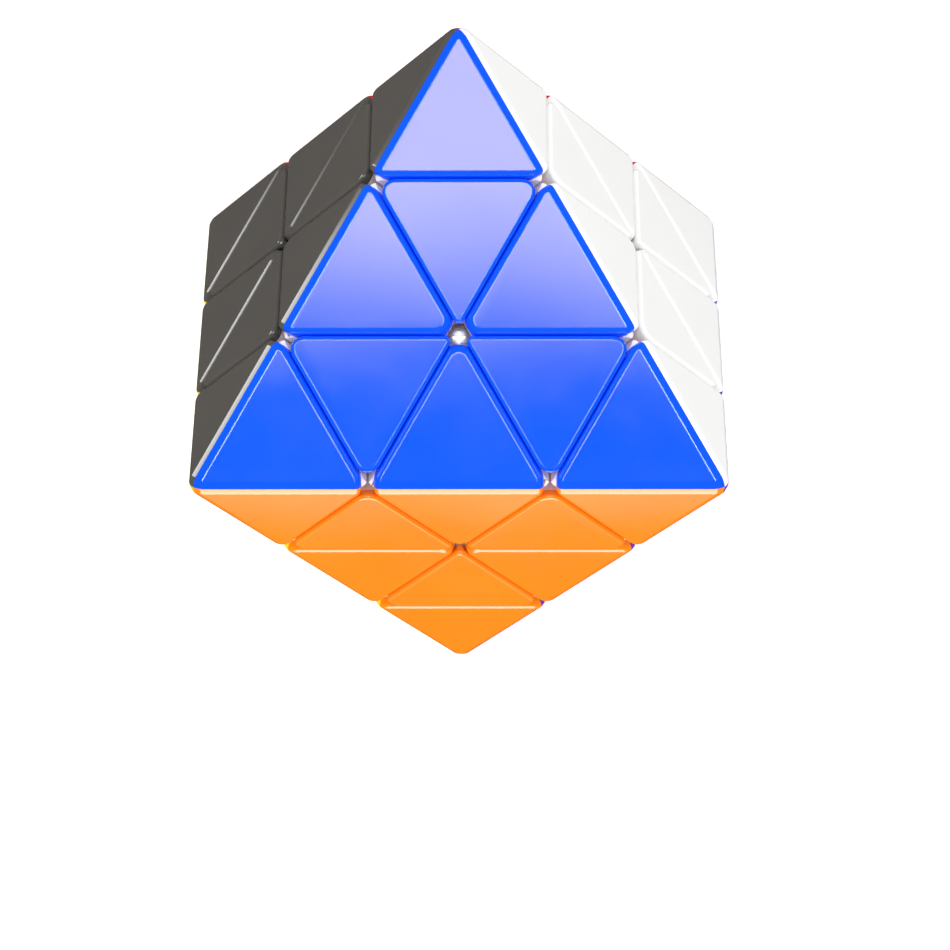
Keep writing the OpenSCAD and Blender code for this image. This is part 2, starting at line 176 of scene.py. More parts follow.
def block(planes):
    """Mesh of the space inside every plane (direction, distance, kind), and the kinds it used"""
    points = []
    for a, b, c in itertools.combinations(planes, 3):
        corner = Matrix((a[0], b[0], c[0]))
        if abs(corner.determinant()) < 1e-4:
            continue
        p = corner.inverted() @ Vector((a[1], b[1], c[1]))
        inside = all(n.dot(p) <= d + 1e-4 for n, d, _ in planes)
        if inside and all((p - q).length > 1e-3 for q in points):
            points.append(p)
    mesh = bmesh.new()
    verts = [mesh.verts.new(p) for p in points]
    kinds = mesh.faces.layers.int.new("kind")
    names = sorted({kind for _, _, kind in planes})
    for n, d, kind in planes:
        on = [i for i, p in enumerate(points) if abs(n.dot(p) - d) < 1e-3]
        if len(on) > 2:
            face = mesh.faces.new([verts[i] for i in ring_order(points, on, n)])
            face[kinds] = names.index(kind)
    return mesh, names


def rolled_planes(a, b, radius, words):
    """Planes that roll from plane a to plane b over a rod of the given radius, one for each word"""
    (na, da, _), (nb, db, _) = a, b
    side = na.cross(nb).normalized()
    rod = Matrix((na, nb, side)).inverted() @ Vector((da - radius, db - radius, 0))
    turn = na.angle(nb)
    planes = []
    for i, word in enumerate(words, 1):
        n = Matrix.Rotation(turn * i / (len(words) + 1), 3, side) @ na
        planes.append((n, n.dot(rod) + radius, word))
    return planes


print("tools ready")

# %% [markdown]
# ## Rounded edges
# Moulded plastic has no sharp edge. Where two faces of the octahedron meet the edge is rounded widely,
# and the edges along the cuts are rounded less, which makes the grooves between the tiles. A Bevel
# modifier does this well because each edge can carry its own weight: the widest width times the weight
# gives the width of that edge.

# %%
WIDEST = 2.0
BEVEL_STEPS = 6


def keep_mesh(name, mesh):
    """Turns an editable mesh into an object that the later steps can change"""
    data = bpy.data.meshes.new(name)
    mesh.to_mesh(data)
    mesh.free()
    piece = bpy.data.objects.new(name, data)
    scene.collection.objects.link(piece)
    return piece


def settle(piece):
    """Makes what the modifiers show into the object's own mesh"""
    shown = piece.evaluated_get(bpy.context.evaluated_depsgraph_get())
    made = bpy.data.meshes.new_from_object(shown)
    piece.modifiers.clear()
    piece.data = made
    return piece


def rounded_block(name, planes, widths):
    """A block whose edges are rounded by the width given for the two kinds of plane that meet there"""
    mesh, names = block(planes)
    kinds = mesh.faces.layers.int["kind"]
    weight = mesh.edges.layers.float.new("bevel_weight_edge")
    for edge in mesh.edges:
        pair = tuple(sorted(names[f[kinds]] for f in edge.link_faces))
        edge[weight] = widths.get(pair, 0) / WIDEST
    piece = keep_mesh(name, mesh)
    bevel = piece.modifiers.new("round", "BEVEL")
    bevel.limit_method = "WEIGHT"
    bevel.width = WIDEST
    bevel.segments = BEVEL_STEPS
    bevel.profile = 0.5
    bevel.use_clamp_overlap = False
    return settle(piece)


print("bevel steps", BEVEL_STEPS)

# %% [markdown]
# ## Cutting and carving
# A cap is a thin slice off a rounded block, and a body is what is left. `sliced` cuts with flat planes
# and closes the cut. `carve` takes one solid away from another or joins them, which is slower but can
# follow the round bowl.

# %%
def sliced(source, name, planes):
    """A copy of a piece cut back to the inner side of each plane (direction, distance)"""
    mesh = bmesh.new()
    mesh.from_mesh(source.data)
    for n, d in planes:
        whole = mesh.verts[:] + mesh.edges[:] + mesh.faces[:]
        cut = bmesh.ops.bisect_plane(
            mesh, geom=whole, plane_co=n * d, plane_no=n, clear_outer=True, dist=1e-5
        )
        rim = [g for g in cut["geom_cut"] if isinstance(g, bmesh.types.BMEdge)]
        bmesh.ops.edgeloop_fill(mesh, edges=rim)
    bmesh.ops.recalc_face_normals(mesh, faces=mesh.faces[:])
    return keep_mesh(name, mesh)


def carve(piece, tool, how="DIFFERENCE"):
    """Takes the tool away from the piece, joins it, or keeps only what they share"""
    change = piece.modifiers.new(how, "BOOLEAN")
    change.operation = how
    change.object = tool
    change.solver = "EXACT"
    settle(piece)
    bpy.data.objects.remove(tool)
    return piece


def ball(radius, name="ball"):
    """A smooth ball round the middle of the toy"""
    mesh = bmesh.new()
    bmesh.ops.create_icosphere(mesh, subdivisions=5, radius=radius)
    return keep_mesh(name, mesh)


def rod(axis, radius, low, high, steps=48):
    """A round rod along an axis through the middle, between two heights"""
    mesh = bmesh.new()
    bmesh.ops.create_cone(
        mesh, cap_ends=True, segments=steps, radius1=radius, radius2=radius, depth=high - low,
        matrix=Matrix.Translation((0, 0, (low + high) / 2)),
    )
    bmesh.ops.transform(mesh, matrix=axis.to_track_quat("Z", "Y").to_matrix(), verts=mesh.verts[:])
    return keep_mesh("rod", mesh)


print("cutting tools ready")

# %% [markdown]
# ## The planes of the three outer pieces
# A corner is a small octahedron that lies in four turning layers, an edge is a small octahedron that
# lies in two, and a centre is a small tetrahedron that lies in three. Corners and edges are cut off
# square where they meet, which leaves the small open notches along the outer edges of the toy. Round the
# middle of each face the tips are cut back and rounded to show the screw.

# %%
PPP, PPM, PMP, PMM, MPP = unit(1, 1, 1), unit(1, 1, -1), unit(1, -1, 1), unit(1, -1, -1), unit(-1, 1, 1)
NOTCH_HALF = 1.1
HOLE_R = 1.8
HOLE_TIP_R = 1.9
HOLE_ROUND_R = 1.5
CENTRE_ROUND_R = 2.9
ROUND_STEPS = 8


def corner_planes(inner, outer):
    """The corner piece at the rear corner"""
    outside = [(n, outer, "face") for n in (PPP, PPM, PMP, PMM)]
    cuts = [(-n, -inner, "cut") for n in (PPP, PPM, PMP, PMM)]
    reach = -(TILE / 2 + NOTCH_HALF)
    notches = [(unit(*v), reach, "notch") for v in ((-1, 1, 0), (-1, -1, 0), (-1, 0, 1), (-1, 0, -1))]
    return outside + cuts + notches


def edge_planes(inner, side, outer):
    """The edge piece between the rear and left corners"""
    outside = [(PPP, outer, "face"), (PPM, outer, "face")]
    cuts = [(-PPP, -inner, "cut"), (-PPM, -inner, "cut")]
    sides = [(n, side, "cut") for n in (PMP, -PMP, PMM, -PMM)]
    reach = TILE / 2 - NOTCH_HALF
    notches = [(unit(1, -1, 0), reach, "notch"), (unit(-1, 1, 0), reach, "notch")]
    planes = outside + cuts + sides + notches
    for up in (1, -1):
        hole = (unit(-1, -1, 2 * up), -HOLE_R, "hole")
        planes.append(hole)
        for n in (unit(1, -1, up), unit(-1, 1, up)):
            planes += rolled_planes(hole, (n, side, "cut"), HOLE_ROUND_R, ["tip"])
    return planes


def centre_planes(inner, side, outer, rounded=True):
    """The centre piece near the rear corner on the blue face"""
    top, high = (PPP, outer, "face"), (PMM, side, "cut")
    low_a, low_b = (-PPM, -inner, "cut"), (-PMP, -inner, "cut")
    tip = (unit(-2, 1, 1), -HOLE_TIP_R, "hole")
    planes = [top, low_a, low_b, high, tip]
    if rounded:
        for low in (low_a, low_b):
            planes += rolled_planes(high, low, CENTRE_ROUND_R, ["round"] * ROUND_STEPS)
    return planes


print("planes of a corner", len(corner_planes(CUT_D, FACE_D)))
print("planes of an edge", len(edge_planes(CUT_D, CUT_D, FACE_D)))
print("planes of a centre", len(centre_planes(CUT_D, CUT_D, FACE_D)))

# %% [markdown]
# ## The three rounded outer pieces
# The widths are the distance from the sharp edge to where the curve starts. A curve of radius 2.6 mm
# starts 1.8 mm from an outer edge, and the groove curves start about one millimetre from each cut. The
# tetrahedra have steeper sides, so their curves are tighter. Round the screw hole the width shrinks from
# the tip to the sides of an edge tile, which gives its flat a round tip.

# %%
OCTA_WIDTHS = {
    ("face", "face"): 1.84,
    ("cut", "face"): 0.92,
    ("face", "notch"): 1.35,
    ("cut", "notch"): 0.7,
    ("face", "hole"): 1.7,
    ("face", "tip"): 1.54,
    ("cut", "tip"): 0.4,
    ("hole", "tip"): 0.4,
    ("cut", "cut"): 0.3,
}
CENTRE_WIDTHS = {
    ("cut", "face"): 1.13,
    ("face", "round"): 1.2,
    ("face", "hole"): 0.65,
    ("cut", "hole"): 0.3,
}


def three_blocks(gap):
    """The rounded corner, edge and centre blocks, each kept this far from the cuts"""
    inner, side = CUT_D + gap, CUT_D - gap
    return (
        rounded_block("corner_block", corner_planes(inner, FACE_D), OCTA_WIDTHS),
        rounded_block("edge_block", edge_planes(inner, side, FACE_D), OCTA_WIDTHS),
        rounded_block("centre_block", centre_planes(inner, side, FACE_D), CENTRE_WIDTHS),
    )


TILE_GAP = 0.08
corner_block, edge_block, centre_block = three_blocks(TILE_GAP)
for piece in (corner_block, edge_block, centre_block):
    print(piece.name, len(piece.data.vertices), "points")

# %% [markdown]
# ## The caps
# Each coloured cap is the outer two millimetres of its block. On the corner and edge pieces two or more
# caps share a rounded edge, so they are cut apart along the plane through the middle of that curve. This
# is why the colour changes exactly half way round the edge on the real toy.

# %%
CAP_FLOOR = (-PPP, -(FACE_D - CAP_T))
SEAM = 0.02
mitre_y = (Vector((0, -1, 0)), -SEAM)
mitre_z = (Vector((0, 0, -1)), -SEAM)
corner_cap = sliced(corner_block, "corner_cap", [CAP_FLOOR, mitre_y, mitre_z])
edge_cap = sliced(edge_block, "edge_cap", [CAP_FLOOR, mitre_z])
centre_cap = sliced(centre_block, "centre_cap", [CAP_FLOOR])
for piece in (corner_cap, edge_cap, centre_cap):
    print(piece.name, len(piece.data.vertices), "points")

# %% [markdown]
# ## The white bodies
# A body has three parts: the block under its caps, which is hollowed by the bowl, a neck that passes
# through the bowl, and a foot inside it that is wider than the neck. The foot slides under the
# neighbouring bodies and keeps the piece from falling out. The bodies keep a little further from the
# cuts than the caps do, so a fine step shows below each cap and only the glossy caps ever touch. Under
# each notch the corners of the bodies are whole again, which gives the notch its pale floor.

# %%
BODY_TOP = FACE_D - CAP_T
under = [(n, BODY_TOP) for n in (PPP, PPM, PMP, PMM)]
INNER, SIDE = CUT_D + HALF_GAP, CUT_D - HALF_GAP
corner_under, edge_under, centre_under = three_blocks(HALF_GAP)
NOTCH_DEPTH = 2.9
NOTCH_FLOOR = EDGE / 2 - NOTCH_DEPTH
outward = [unit(*v) for v in ((1, 1, 0), (1, -1, 0), (1, 0, 1), (1, 0, -1))]
corner_floors = [(n, NOTCH_FLOOR, "floor") for n in outward]


def without(kind, planes):
    """The same planes, less those of one kind"""
    return [plane for plane in planes if plane[2] != kind]


def body(name, source, cover, fill, neck, foot):
    """Outer block, notch floors, neck and foot of one piece, joined and hollowed for the core"""
    outer = sliced(source, name, cover)
    if fill:
        carve(outer, keep_mesh("fill", block(fill)[0]), "UNION")
    carve(outer, ball(BOWL_R + HALF_GAP))
    carve(outer, keep_mesh("neck", block(neck)[0]), "UNION")
    carve(outer, carve(keep_mesh("foot", block(foot)[0]), ball(BOWL_R - HALF_GAP), "INTERSECT"), "UNION")
    return carve(outer, ball(FOOT_INNER_R))


FOOT_IN = FOOT_CUT_D + HALF_GAP
FOOT_SIDE = FOOT_CUT_D - HALF_GAP
NECK_TOP = BODY_TOP - 1
corner_fill = without("notch", corner_planes(INNER, BODY_TOP)) + corner_floors
edge_fill = without("notch", edge_planes(INNER, SIDE, BODY_TOP)) + corner_floors[:1]
corner_foot = without("notch", corner_planes(FOOT_IN, BODY_TOP))
edge_foot = edge_planes(FOOT_IN, FOOT_SIDE, BODY_TOP)
centre_foot = without("hole", centre_planes(FOOT_IN, FOOT_SIDE, BODY_TOP, False))
corner_body = body(
    "corner_body", corner_under, under, corner_fill,
    corner_planes(INNER, NECK_TOP), corner_foot,
)
edge_body = body(
    "edge_body", edge_under, under[:2], edge_fill,
    edge_planes(INNER, FOOT_SIDE, NECK_TOP), edge_foot,
)
centre_body = body(
    "centre_body", centre_under, under[:1], None,
    centre_planes(INNER, FOOT_SIDE, NECK_TOP, False), centre_foot,
)
for piece in (corner_body, edge_body, centre_body):
    print(piece.name, len(piece.data.vertices), "points")

# %% [markdown]
# ## The screw, its washer and its spring
# One axle stack stands on each face. The screw head is the silver dot in the hole at the middle of a
# face. Turned parts are drawn as a profile that is swept round the axle, and the cross slot is cut out
# afterwards. The spring is a real helix with closed ends, because a helix is as easy to sweep as a ring.

# %%
HEAD_LOW, HEAD_HIGH, HEAD_R = 30.3, 31.9, 2.25
HEAD_BEVEL = 0.15
DOME_RISE = 0.65
SCREW_R, ROOT_R, POINT_R = 1.25, 1.07, 0.5
POINT_LOW, THREAD_LOW, PITCH, THREADS = 11.6, 12.2, 0.9, 8
SHANK_RISE = 0.2
SLOT_LENGTH, SLOT_WIDTH, SLOT_TAPER = 2.9, 0.62, 0.75
SLOT_LIFT, SLOT_HEIGHT = 0.1, 1.6
WASHER_LOW, WASHER_HOLE_R = 30.0, 1.35
SPRING_LOW, SPRING_R, WIRE_R, COILS = 27.92, 1.8, 0.22, 4


def turned(name, profile, steps=48):
    """Sweeps a profile of (radius, height) round the upright axis"""
    mesh = bmesh.new()
    rings = []
    for r, z in profile:
        angles = [2 * math.pi * i / steps for i in range(steps)] if r > 0 else [0]
        rings.append([mesh.verts.new((r * math.cos(a), r * math.sin(a), z)) for a in angles])
    for low, high in zip(rings, rings[1:]):
        for i in range(steps):
            a, b = low[i % len(low)], low[(i + 1) % len(low)]
            c, d = high[(i + 1) % len(high)], high[i % len(high)]
            around = list(dict.fromkeys((a, b, c, d)))
            if len(around) > 2:
                mesh.faces.new(around)
    bmesh.ops.recalc_face_normals(mesh, faces=mesh.faces[:])
    return keep_mesh(name, mesh)


def screw_profile():
    """Point, ringed thread, shank and domed head of the axle screw"""
    thread = [(0, POINT_LOW), (POINT_R, POINT_LOW)]
    for i in range(THREADS):
        low = THREAD_LOW + PITCH * i
        thread += [(ROOT_R, low), (SCREW_R, low + PITCH / 2)]
    thread_top = THREAD_LOW + PITCH * THREADS
    shank = [(ROOT_R, thread_top), (SCREW_R, thread_top + SHANK_RISE), (SCREW_R, HEAD_LOW)]
    head = [(HEAD_R - HEAD_BEVEL, HEAD_LOW), (HEAD_R, HEAD_LOW + HEAD_BEVEL)]
    dome_low = HEAD_HIGH - DOME_RISE
    for degrees in range(0, 90, 10):
        t = math.radians(degrees)
        head.append((HEAD_R * math.cos(t), dome_low + DOME_RISE * math.sin(t)))
    return thread + shank + head + [(0, HEAD_HIGH)]


def slot_tool(angle):
    """One arm of the cross slot, tapering towards its floor"""
    mesh = bmesh.new()
    bmesh.ops.create_cube(mesh, size=1)
    for v in mesh.verts:
        share = SLOT_TAPER if v.co.z < 0 else 1
        height = HEAD_HIGH + SLOT_LIFT + v.co.z * SLOT_HEIGHT
        v.co = Vector((v.co.x * SLOT_LENGTH * share, v.co.y * SLOT_WIDTH * share, height))
    bmesh.ops.rotate(mesh, cent=(0, 0, 0), matrix=Matrix.Rotation(angle, 3, "Z"), verts=mesh.verts[:])
    return keep_mesh("slot", mesh)


def helix(name, radius, wire, low, high, coils, steps=20, around=8):
    """A spring: a round wire swept up a helix whose first and last turns lie nearly flat"""
    mesh = bmesh.new()
    rings = []
    for i in range(coils * steps + 1):
        t = i / (coils * steps)
        a = 2 * math.pi * coils * t
        lift = min(max((t - 0.5 / coils) / (1 - 1 / coils), 0), 1)
        height = low + wire + (high - low - 2 * wire) * lift
        centre = Vector((radius * math.cos(a), radius * math.sin(a), height))
        out = Vector((math.cos(a), math.sin(a), 0))
        ring = []
        for k in range(around):
            b = 2 * math.pi * k / around
            ring.append(mesh.verts.new(centre + wire * (out * math.cos(b) + Vector((0, 0, math.sin(b))))))
        rings.append(ring)
    for low_ring, high_ring in zip(rings, rings[1:]):
        for k in range(around):
            after = (k + 1) % around
            mesh.faces.new((low_ring[k], low_ring[after], high_ring[after], high_ring[k]))
    mesh.faces.new(rings[0])
    mesh.faces.new(rings[-1])
    bmesh.ops.recalc_face_normals(mesh, faces=mesh.faces[:])
    return keep_mesh(name, mesh)


upright_screw = turned("upright_screw", screw_profile())
for angle in (0, math.pi / 2):
    carve(upright_screw, slot_tool(angle))
upright_spring = helix("upright_spring", SPRING_R, WIRE_R, SPRING_LOW, WASHER_LOW, COILS)
washer_low = [(WASHER_HOLE_R, WASHER_LOW), (HEAD_R, WASHER_LOW)]
washer_high = [(HEAD_R, HEAD_LOW), (WASHER_HOLE_R, HEAD_LOW)]
upright_washer = turned("upright_washer", washer_low + washer_high + washer_low[:1])
lean = Matrix((unit(0, -1, 1), unit(2, -1, -1), PPP)).transposed().to_4x4()
for piece in (upright_screw, upright_spring, upright_washer):
    piece.data.transform(lean)
    print(piece.name, len(piece.data.vertices), "points")

# %% [markdown]
# ## The retainer and the core
# The retainer is a three-sided cup on each axle. Its floor is hollowed to sit on the feet, and the
# spring stands in its round pocket. The core is a ball with eight arms, each drilled for its screw.

# %%
CUP_LOW, CUP_TOP, SHELF, CUP_R = 24.5, 30.6, 27.9, 2.4
BORE_LOW, BORE_TOP = 20, 40
CORE_R, ARM_R, ARM_TOP, ARM_STEPS = 10, 3.3, 20.4, 64
ARM_BORE_R, ARM_BORE_LOW, ARM_BORE_TOP = 1.3, 11, 25
cup_planes = [(PPP, CUP_TOP, "cut"), (-PPP, -CUP_LOW, "cut")] + [(n, SIDE, "cut") for n in (PPM, PMP, MPP)]
retainer = keep_mesh("retainer", block(cup_planes)[0])
carve(retainer, ball(BOWL_R + HALF_GAP))
carve(retainer, rod(PPP, WASHER_HOLE_R, BORE_LOW, BORE_TOP))
carve(retainer, rod(PPP, CUP_R, SHELF, BORE_TOP))

core = ball(CORE_R, "core")
for n in (PPP, PPM, PMP, PMM):
    carve(core, rod(n, ARM_R, -ARM_TOP, ARM_TOP, ARM_STEPS), "UNION")
for n in (PPP, PPM, PMP, PMM):
    carve(core, rod(n, ARM_BORE_R, ARM_BORE_LOW, ARM_BORE_TOP))
    carve(core, rod(-n, ARM_BORE_R, ARM_BORE_LOW, ARM_BORE_TOP))
print("retainer", len(retainer.data.vertices), "points, core", len(core.data.vertices), "points")

# %% [markdown]
# ## Glossy coloured plastic
# The caps are polished ABS, coloured right through. A perfectly even colour and shine would look like
# glass, so the colour drifts by a few per cent, faint handling marks change the roughness in patches,
# and two very shallow bumps stand for the moulding's ripple and for fine rubbing marks. All of it comes
# from the place of each point on the toy.

# %%
def node(tree, kind, x, y, **inputs):
    """Adds one shader node and fills its sockets by name"""
    made = tree.nodes.new(kind)
    made.location = (x, y)
    for key, value in inputs.items():
        made.inputs[key.replace("_", " ")].default_value = value
    return made


def noise(tree, where, x, y, scale, detail=2.0, stretch=None):
    """Soft noise measured in waves per metre, stretched along one direction if asked"""
    mapping = node(tree, "ShaderNodeMapping", x - 200, y)
    if stretch:
        mapping.inputs["Scale"].default_value = stretch
        mapping.inputs["Rotation"].default_value = (0.5, 0.3, 0.9)
    tree.links.new(where.outputs["Object"], mapping.inputs["Vector"])
    made = node(tree, "ShaderNodeTexNoise", x, y, Scale=scale, Detail=detail)
    tree.links.new(mapping.outputs["Vector"], made.inputs["Vector"])
    return made


def ranged(tree, source, x, y, low, high, from_low=0.3, from_high=0.7):
    """Spreads a noise between two values"""
    made = node(tree, "ShaderNodeMapRange", x, y)
    for key, value in (("From Min", from_low), ("From Max", from_high), ("To Min", low), ("To Max", high)):
        made.inputs[key].default_value = value
    tree.links.new(source.outputs["Fac"], made.inputs["Value"])
    return made


def bumped(tree, source, x, y, depth, below=None):
    """A bump of the given depth in metres, on top of another bump"""
    made = node(tree, "ShaderNodeBump", x, y, Strength=1.0, Distance=depth)
    tree.links.new(source.outputs["Fac"], made.inputs["Height"])
    if below:
        tree.links.new(below.outputs["Normal"], made.inputs["Normal"])
    return made


def tinted(tree, source, x, y, colour, drift):
    """The colour, drifting between a little darker and a little lighter"""
    made = node(tree, "ShaderNodeMix", x, y)
    made.data_type = "RGBA"
    made.inputs[6].default_value = [c * (1 - drift) for c in colour] + [1]
    made.inputs[7].default_value = [min(c * (1 + drift), 1) for c in colour] + [1]
    tree.links.new(source.outputs["Result"], made.inputs[0])
    return made


def plastic(name, colour, rough, drift=0.04, ripple=1.2e-6, grain=0.1e-6, metallic=0.0, wear=0.03):
    """A moulded finish: colour drift, patches of handling, ripple and fine rubbing marks"""
    material = bpy.data.materials.new(name)
    material.use_nodes = True
    tree = material.node_tree
    shader = tree.nodes["Principled BSDF"]
    where = node(tree, "ShaderNodeTexCoord", -1300, 0)
    cloud = noise(tree, where, -900, 300, 45, 3)
    touch = noise(tree, where, -900, 0, 120, 4)
    wave = noise(tree, where, -900, -300, 350, 1)
    rub = noise(tree, where, -900, -600, 2500, 2, (1, 0.08, 0.4))
    tint = tinted(tree, ranged(tree, cloud, -600, 300, 0, 1), -350, 300, colour, drift)
    shine = ranged(tree, touch, -600, 0, rough, rough + wear)
    low = bumped(tree, wave, -600, -300, ripple)
    top = bumped(tree, rub, -350, -400, grain, low)
    tree.links.new(tint.outputs[2], shader.inputs["Base Color"])
    tree.links.new(shine.outputs["Result"], shader.inputs["Roughness"])
    tree.links.new(top.outputs["Normal"], shader.inputs["Normal"])
    shader.inputs["Metallic"].default_value = metallic
    shader.inputs["IOR"].default_value = 1.53
    return material


CAP_ROUGH = 0.06
finish = {
    "blue_plastic": plastic("blue_plastic", (0.003, 0.088, 0.97), CAP_ROUGH),
    "grey_plastic": plastic("grey_plastic", (0.083, 0.077, 0.069), CAP_ROUGH),
    "orange_plastic": plastic("orange_plastic", (0.97, 0.25, 0.007), CAP_ROUGH),
    "white_plastic": plastic("white_plastic", (0.85, 0.85, 0.84), CAP_ROUGH, 0.01),
    "green_plastic": plastic("green_plastic", (0.012, 0.38, 0.06), CAP_ROUGH),
    "red_plastic": plastic("red_plastic", (0.62, 0.012, 0.016), CAP_ROUGH),
    "yellow_plastic": plastic("yellow_plastic", (0.88, 0.66, 0.015), CAP_ROUGH),
    "purple_plastic": plastic("purple_plastic", (0.19, 0.035, 0.42), CAP_ROUGH),
}
print(len(finish), "cap colours")

# %% [markdown]
# ## Inner plastic and metal
# The bodies are unpolished natural plastic, faintly pink and matt, with a coarser grain than the caps.
# The screws are bright plated steel and the springs are duller drawn wire.

# %%
finish["inner_plastic"] = plastic("inner_plastic", (0.96, 0.9, 0.9), 0.42, 0.03, 3e-6, 4e-6, 0.0, 0.1)
finish["core_plastic"] = plastic("core_plastic", (0.68, 0.66, 0.62), 0.5, 0.04, 3e-6, 5e-6, 0.0, 0.1)
finish["screw_steel"] = plastic("screw_steel", (0.66, 0.66, 0.68), 0.26, 0.04, 1e-6, 3e-6, 1.0, 0.15)
finish["spring_steel"] = plastic("spring_steel", (0.5, 0.5, 0.52), 0.32, 0.06, 1e-6, 3e-6, 1.0, 0.15)
print(len(finish), "finishes in all")

# %% [markdown]
# ## Placing the pieces
# `build` gathers copies of one or more shapes, joins them into one named piece, gives it its finish and
# sets it on the body of the toy that it turns with. Smooth shading alone would bend the light across the
# flat tiles, so normals are weighted by area: flats stay flat and only the curves shade round.

# %%
BODY_NAMES = {1: "upper_layer", 0: "core_and_middle_slice", -1: "lower_layer"}
SHARP = math.radians(34)


def build(name, copies, slot, layer, stands_for):
    """One named piece from copies (shape, place) in one finish, turning with one layer"""
    mesh = bmesh.new()
    for shape, where in copies:
        start = len(mesh.verts)
        mesh.from_mesh(shape.data)
        mesh.verts.ensure_lookup_table()
        bmesh.ops.transform(mesh, matrix=to_metres @ where, verts=mesh.verts[start:])
    for face in mesh.faces:
        face.smooth = True
    for edge in mesh.edges:
        edge.smooth = edge.is_manifold and edge.calc_face_angle(0) < SHARP
    piece = keep_mesh(name, mesh)
    piece.data.materials.clear()
    piece.data.materials.append(finish[slot])
    even = piece.modifiers.new("even_normals", "WEIGHTED_NORMAL")
    even.keep_sharp = True
    even.weight = 100
    settle(piece)
    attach(piece, BODY_NAMES[layer])
    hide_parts(stands_for)
    return piece


def caps_of(face, layer):
    """Every cap of one face that turns with one layer"""
    copies = []
    for p, q in zip(face, face[1:] + face[:1]):
        if layer_of_corner(p) == layer:
            copies.append((corner_cap, place(p, q)))
        if layer_of_edge(p, q) == layer:
            copies.append((edge_cap, place(p, q)))
        if layer_of_centre(face, p) == layer:
            copies.append((centre_cap, place(p, q)))
    return copies


def centres_of(face, layer):
    """Every centre body of one face that turns with one layer"""
    pairs = zip(face, face[1:] + face[:1])
    return [(centre_body, place(p, q)) for p, q in pairs if layer_of_centre(face, p) == layer]


LAYER_WORDS = {1: "upper", 0: "middle", -1: "lower"}
made = []
for colour, face in FACES.items():
    for layer, word in LAYER_WORDS.items():
        caps, centres = caps_of(face, layer), centres_of(face, layer)
        whole = colour in ("blue", "green")
        if caps:
            kind = "caps" if len(caps) > 1 else "cap"
            node_name = f"caps_{colour}" if whole else f"{kind}_{colour}_{word}"
            made.append(build(f"{colour}_tiles_{word}", caps, colour + "_plastic", layer, node_name))
        if centres:
            kind = "centre_bodies" if len(centres) > 1 else "centre_body"
            node_name = f"centre_bodies_{colour}" if whole else f"{kind}_{colour}_{word}"
            made.append(build(f"{colour}_centres_{word}", centres, "inner_plastic", layer, node_name))
print(len(made), "groups of tiles and centres")

# %% [markdown]
# ## Corner and edge bodies
# These are single pieces, named by where they are or by the two colours they carry.

# %%
CORNERS = {
    "upper_rear": (REAR, LEFT), "upper_left": (LEFT, RIGHT), "upper_right": (RIGHT, REAR),
    "lower_front": (LOW_FRONT, LEFT), "lower_right": (LOW_RIGHT, LEFT.cross(REAR)),
    "lower_left": (LOW_LEFT, REAR),
}
EDGES = {
    "blue_grey": (REAR, LEFT), "blue_orange": (LEFT, RIGHT), "blue_white": (RIGHT, REAR),
    "grey_red": (REAR, LOW_LEFT), "white_red": (REAR, LOW_RIGHT), "grey_yellow": (LEFT, LOW_LEFT),
    "orange_yellow": (LEFT, LOW_FRONT), "orange_purple": (RIGHT, LOW_FRONT),
    "white_purple": (RIGHT, LOW_RIGHT), "green_red": (LOW_LEFT, LOW_RIGHT),
    "green_yellow": (LOW_LEFT, LOW_FRONT), "green_purple": (LOW_RIGHT, LOW_FRONT),
}
for name, (p, q) in CORNERS.items():
    copies, layer = [(corner_body, place(p, q))], layer_of_corner(p)
    made.append(build(f"body_corner_{name}", copies, "inner_plastic", layer, f"corner_{name}_body"))
for name, (p, q) in EDGES.items():
    copies, layer = [(edge_body, place(p, q))], layer_of_edge(p, q)
    made.append(build(f"body_edge_{name}", copies, "inner_plastic", layer, f"edge_{name}_body"))
print(len(made), "pieces so far")

# %% [markdown]
# ## Core, screws, springs, washers and retainers
# All eight axle stacks are copies of the one on the blue face. The upper and lower retainers turn with
# their layers, and the other six stay with the middle of the toy.

# %%
axles = {colour: place(face[0], face[1]) for colour, face in FACES.items()}
screws = [(upright_screw, w) for w in axles.values()]
springs = [(upright_spring, w) for w in axles.values()]
washers = [(upright_washer, w) for w in axles.values()]
side_retainers = [(retainer, w) for colour, w in axles.items() if colour not in ("blue", "green")]
made.append(build("core", [(core, Matrix.Identity(4))], "core_plastic", 0, "core_spider_frame"))
made.append(build("screws", screws, "screw_steel", 0, "axle_screws"))
made.append(build("springs", springs, "spring_steel", 0, "axle_springs"))
made.append(build("washers", washers, "screw_steel", 0, "axle_washers"))
made.append(build("retainer_blue", [(retainer, axles["blue"])], "inner_plastic", 1, "retainer_upper"))
made.append(build("retainer_green", [(retainer, axles["green"])], "inner_plastic", -1, "retainer_lower"))
made.append(build("retainers_of_sides", side_retainers, "inner_plastic", 0, "retainers_side"))
blocks = [corner_block, edge_block, centre_block, corner_under, edge_under, centre_under]
outer_shapes = [corner_cap, edge_cap, centre_cap, corner_body, edge_body, centre_body]
inner_shapes = [upright_screw, upright_spring, upright_washer, retainer, core]
for shape in blocks + outer_shapes + inner_shapes:
    bpy.data.objects.remove(shape)
print(len(made), "pieces in all")
